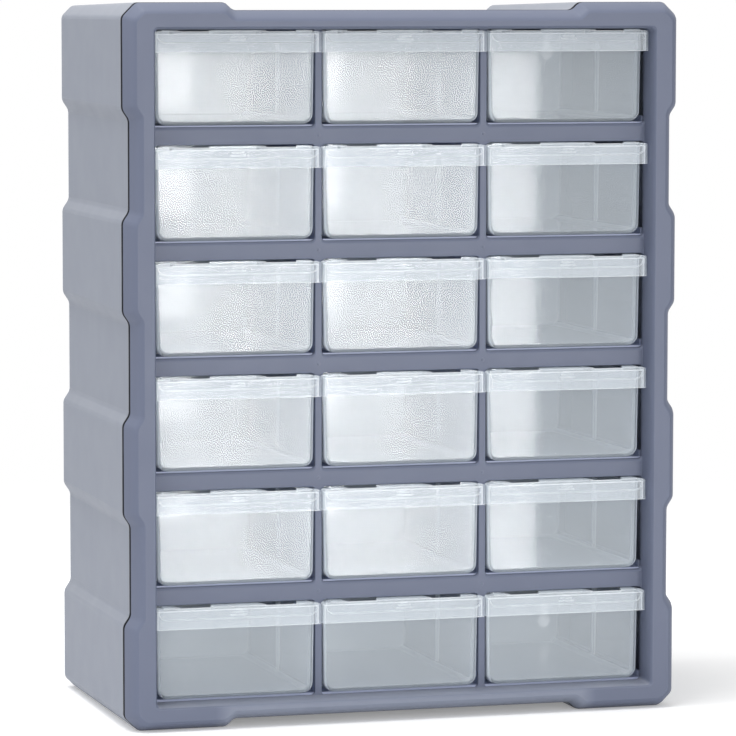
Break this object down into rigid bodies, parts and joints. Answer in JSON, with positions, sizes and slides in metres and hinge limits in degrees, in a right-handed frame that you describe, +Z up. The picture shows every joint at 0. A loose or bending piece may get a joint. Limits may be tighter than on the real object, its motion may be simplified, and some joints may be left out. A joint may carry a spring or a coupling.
{
  "type": "parts bin cabinet",
  "caption": "Free-standing or wall-hung cabinet of small clear drawers in rows and columns, with a stepped moulded case and a front frame, for sorting small parts.",
  "frame": {"origin": "middle of the footprint on the surface the cabinet stands on", "axes": "+Z up, the drawers face and pull out towards -Y, +X to the right as seen from the front"},
  "size_m": [0.3, 0.16, 0.374],
  "materials": {
    "frame_plastic": "fine satin moulded plastic",
    "shell_plastic": "fine satin moulded plastic",
    "inner_plastic": "plain moulded plastic",
    "drawer_plastic": "clear moulded plastic, slightly milky"
  },
  "bodies": {
    "cabinet": {"rear_shell": "shell_plastic", "front_frame": "frame_plastic", "partition_left": "inner_plastic", "partition_right": "inner_plastic", "shelf_1": "inner_plastic", "shelf_2": "inner_plastic", "shelf_3": "inner_plastic", "shelf_4": "inner_plastic", "shelf_5": "inner_plastic", "shelf_6": "inner_plastic"},
    "drawer_r1_c1": {"drawer_r1_c1": "drawer_plastic"},
    "drawer_r1_c2": {"drawer_r1_c2": "drawer_plastic"},
    "drawer_r1_c3": {"drawer_r1_c3": "drawer_plastic"},
    "drawer_r2_c1": {"drawer_r2_c1": "drawer_plastic"},
    "drawer_r2_c2": {"drawer_r2_c2": "drawer_plastic"},
    "drawer_r2_c3": {"drawer_r2_c3": "drawer_plastic"},
    "drawer_r3_c1": {"drawer_r3_c1": "drawer_plastic"},
    "drawer_r3_c2": {"drawer_r3_c2": "drawer_plastic"},
    "drawer_r3_c3": {"drawer_r3_c3": "drawer_plastic"},
    "drawer_r4_c1": {"drawer_r4_c1": "drawer_plastic"},
    "drawer_r4_c2": {"drawer_r4_c2": "drawer_plastic"},
    "drawer_r4_c3": {"drawer_r4_c3": "drawer_plastic"},
    "drawer_r5_c1": {"drawer_r5_c1": "drawer_plastic"},
    "drawer_r5_c2": {"drawer_r5_c2": "drawer_plastic"},
    "drawer_r5_c3": {"drawer_r5_c3": "drawer_plastic"},
    "drawer_r6_c1": {"drawer_r6_c1": "drawer_plastic"},
    "drawer_r6_c2": {"drawer_r6_c2": "drawer_plastic"},
    "drawer_r6_c3": {"drawer_r6_c3": "drawer_plastic"}
  },
  "joints": [
    {"name": "slide_r1_c1", "type": "slide", "parent": "cabinet", "child": "drawer_r1_c1", "axis": [0, -1, 0], "range_m": [0, 0.11]},
    {"name": "slide_r1_c2", "type": "slide", "parent": "cabinet", "child": "drawer_r1_c2", "axis": [0, -1, 0], "range_m": [0, 0.11]},
    {"name": "slide_r1_c3", "type": "slide", "parent": "cabinet", "child": "drawer_r1_c3", "axis": [0, -1, 0], "range_m": [0, 0.11]},
    {"name": "slide_r2_c1", "type": "slide", "parent": "cabinet", "child": "drawer_r2_c1", "axis": [0, -1, 0], "range_m": [0, 0.11]},
    {"name": "slide_r2_c2", "type": "slide", "parent": "cabinet", "child": "drawer_r2_c2", "axis": [0, -1, 0], "range_m": [0, 0.11]},
    {"name": "slide_r2_c3", "type": "slide", "parent": "cabinet", "child": "drawer_r2_c3", "axis": [0, -1, 0], "range_m": [0, 0.11]},
    {"name": "slide_r3_c1", "type": "slide", "parent": "cabinet", "child": "drawer_r3_c1", "axis": [0, -1, 0], "range_m": [0, 0.11]},
    {"name": "slide_r3_c2", "type": "slide", "parent": "cabinet", "child": "drawer_r3_c2", "axis": [0, -1, 0], "range_m": [0, 0.11]},
    {"name": "slide_r3_c3", "type": "slide", "parent": "cabinet", "child": "drawer_r3_c3", "axis": [0, -1, 0], "range_m": [0, 0.11]},
    {"name": "slide_r4_c1", "type": "slide", "parent": "cabinet", "child": "drawer_r4_c1", "axis": [0, -1, 0], "range_m": [0, 0.11]},
    {"name": "slide_r4_c2", "type": "slide", "parent": "cabinet", "child": "drawer_r4_c2", "axis": [0, -1, 0], "range_m": [0, 0.11]},
    {"name": "slide_r4_c3", "type": "slide", "parent": "cabinet", "child": "drawer_r4_c3", "axis": [0, -1, 0], "range_m": [0, 0.11]},
    {"name": "slide_r5_c1", "type": "slide", "parent": "cabinet", "child": "drawer_r5_c1", "axis": [0, -1, 0], "range_m": [0, 0.11]},
    {"name": "slide_r5_c2", "type": "slide", "parent": "cabinet", "child": "drawer_r5_c2", "axis": [0, -1, 0], "range_m": [0, 0.11]},
    {"name": "slide_r5_c3", "type": "slide", "parent": "cabinet", "child": "drawer_r5_c3", "axis": [0, -1, 0], "range_m": [0, 0.11]},
    {"name": "slide_r6_c1", "type": "slide", "parent": "cabinet", "child": "drawer_r6_c1", "axis": [0, -1, 0], "range_m": [0, 0.11]},
    {"name": "slide_r6_c2", "type": "slide", "parent": "cabinet", "child": "drawer_r6_c2", "axis": [0, -1, 0], "range_m": [0, 0.11]},
    {"name": "slide_r6_c3", "type": "slide", "parent": "cabinet", "child": "drawer_r6_c3", "axis": [0, -1, 0], "range_m": [0, 0.11]}
  ]
}
